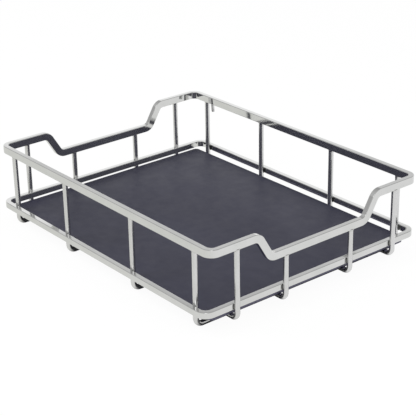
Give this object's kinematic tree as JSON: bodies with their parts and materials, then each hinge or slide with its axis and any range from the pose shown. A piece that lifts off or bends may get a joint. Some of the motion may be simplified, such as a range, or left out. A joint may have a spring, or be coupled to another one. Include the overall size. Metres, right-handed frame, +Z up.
{
  "type": "blind corner organizer basket",
  "caption": "Open wire basket for a blind corner pull-out: flat bar rims with lowered ends, round wires bent to a U, and a flat board on the wires.",
  "frame": {"origin": "middle of the footprint, on the surface that the lowest wires stand on", "axes": "+X along the basket's length, +Y across it towards the bar with the stub, +Z up"},
  "size_m": [0.452, 0.355, 0.1095],
  "materials": {
    "chrome_bar": "bright polished chrome plate on flat steel bar",
    "chrome_wire": "bright chrome plate on drawn steel wire",
    "chrome_weld": "chrome plate over small uneven welds",
    "board": "fine satin slate grey foil on fibreboard"
  },
  "bodies": {
    "basket": {"upper_rim": "chrome_bar", "lower_rim": "chrome_bar", "cross_wire_1": "chrome_wire", "cross_wire_2": "chrome_wire", "cross_wire_3": "chrome_wire", "cross_wire_4": "chrome_wire", "long_wire_1": "chrome_wire", "long_wire_2": "chrome_wire", "long_wire_3": "chrome_wire", "long_wire_4": "chrome_wire", "hanging_stub": "chrome_wire", "upper_welds_front": "chrome_weld", "lower_welds_front": "chrome_weld", "upper_welds_right": "chrome_weld", "lower_welds_right": "chrome_weld", "upper_welds_rear": "chrome_weld", "lower_welds_rear": "chrome_weld", "upper_welds_left": "chrome_weld", "lower_welds_left": "chrome_weld"},
    "board": {"base_board": "board"}
  },
  "joints": [
    {"name": "board_lift", "type": "slide", "parent": "basket", "child": "board", "axis": [0, 0, 1], "range_m": [0, 0.11]}
  ]
}
